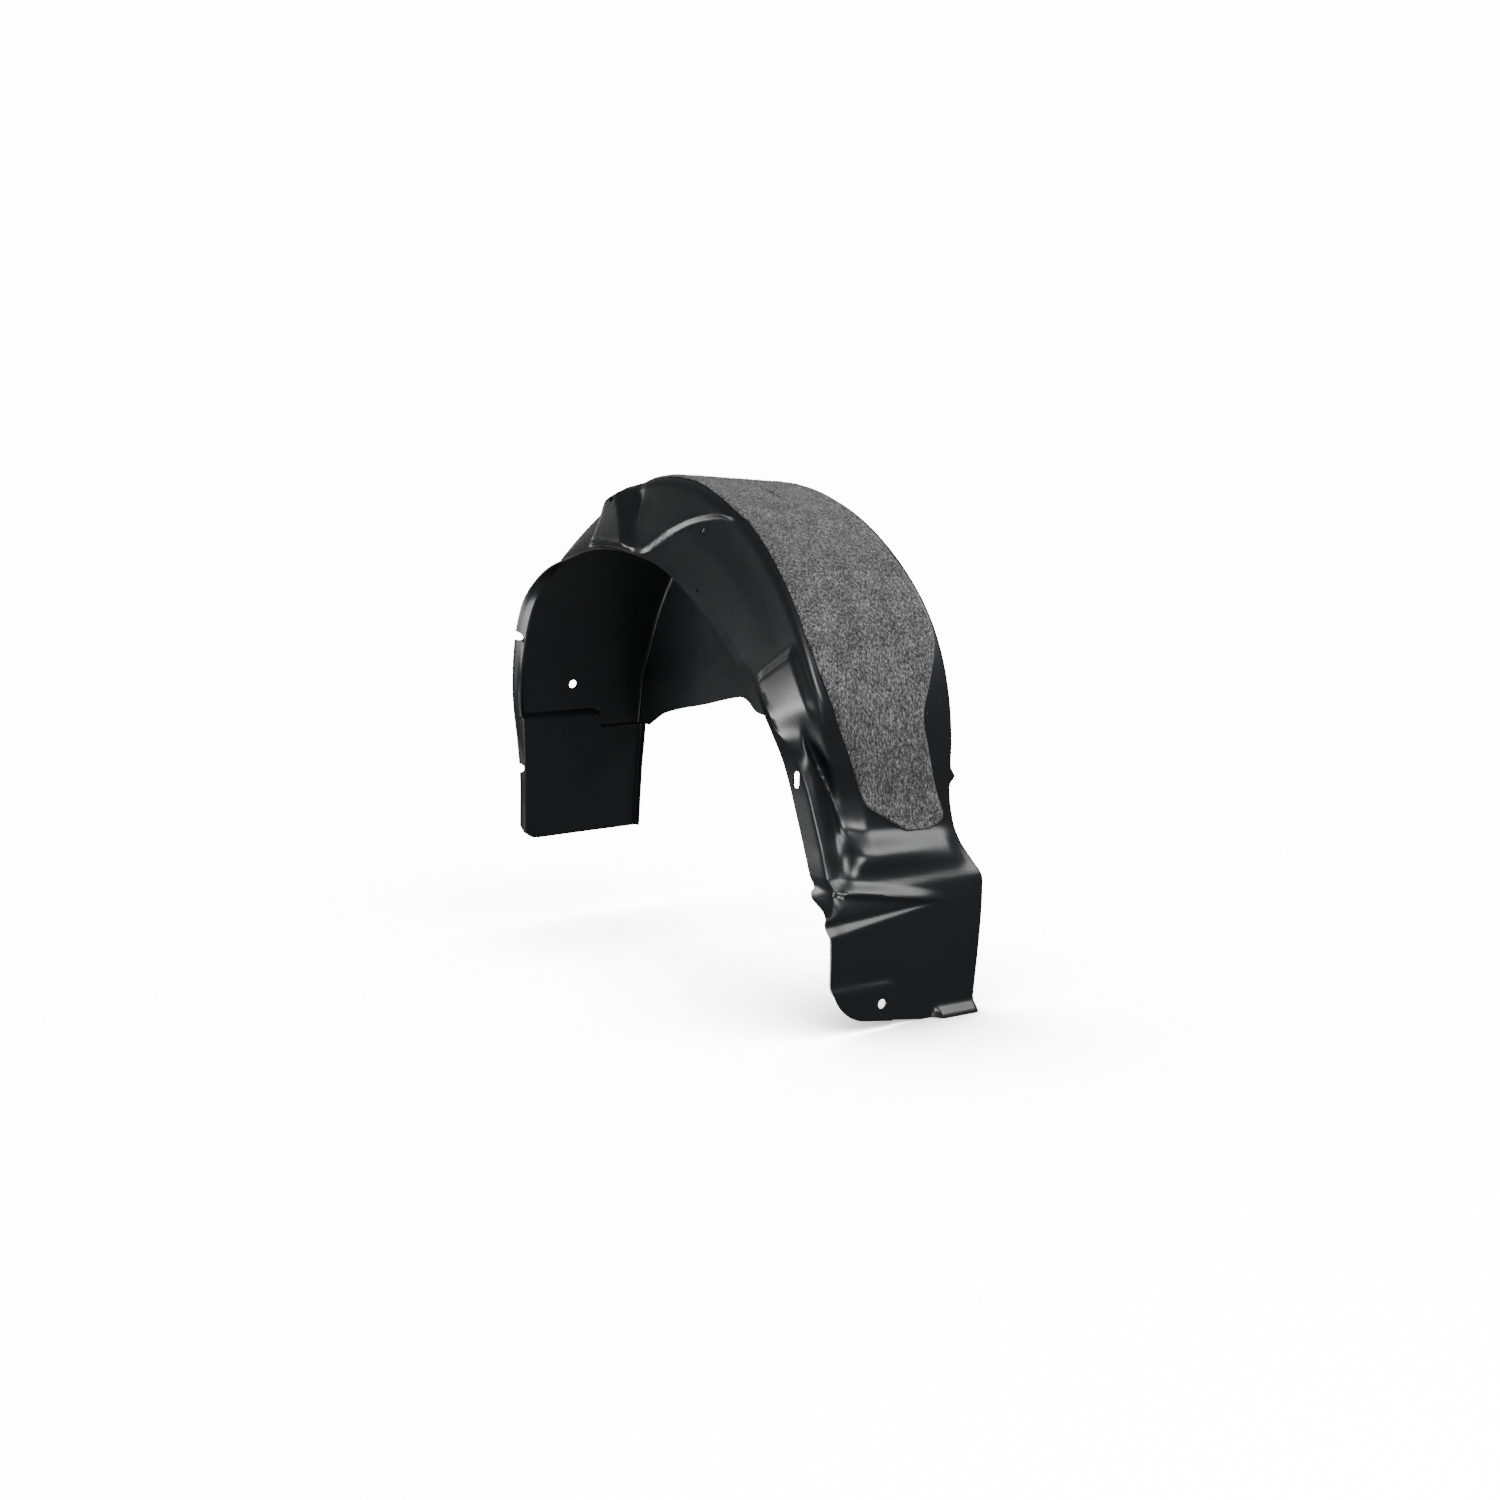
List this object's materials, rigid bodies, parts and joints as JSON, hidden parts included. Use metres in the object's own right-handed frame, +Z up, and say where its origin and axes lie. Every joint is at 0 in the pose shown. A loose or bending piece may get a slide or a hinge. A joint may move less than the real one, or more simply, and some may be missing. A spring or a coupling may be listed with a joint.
{
  "type": "wheel arch liner",
  "caption": "Black moulded plastic wheel arch liner with two legs, a side wall, an inboard wall and a grey felt sound-deadening pad on its outer face.",
  "frame": {"origin": "middle of the liner's length and width, at the bottom of its near foot", "axes": "+X along the car towards the near leg with the foot, -Y outboard towards the fender's lip, +Z up"},
  "size_m": [0.811, 0.2414, 0.6622],
  "materials": {
    "shell_plastic": "black moulded sheet, satin",
    "felt": "grey needled felt with light and dark fibres"
  },
  "bodies": {
    "root": {"liner_shell": "shell_plastic", "felt_pad": "felt"}
  },
  "joints": []
}
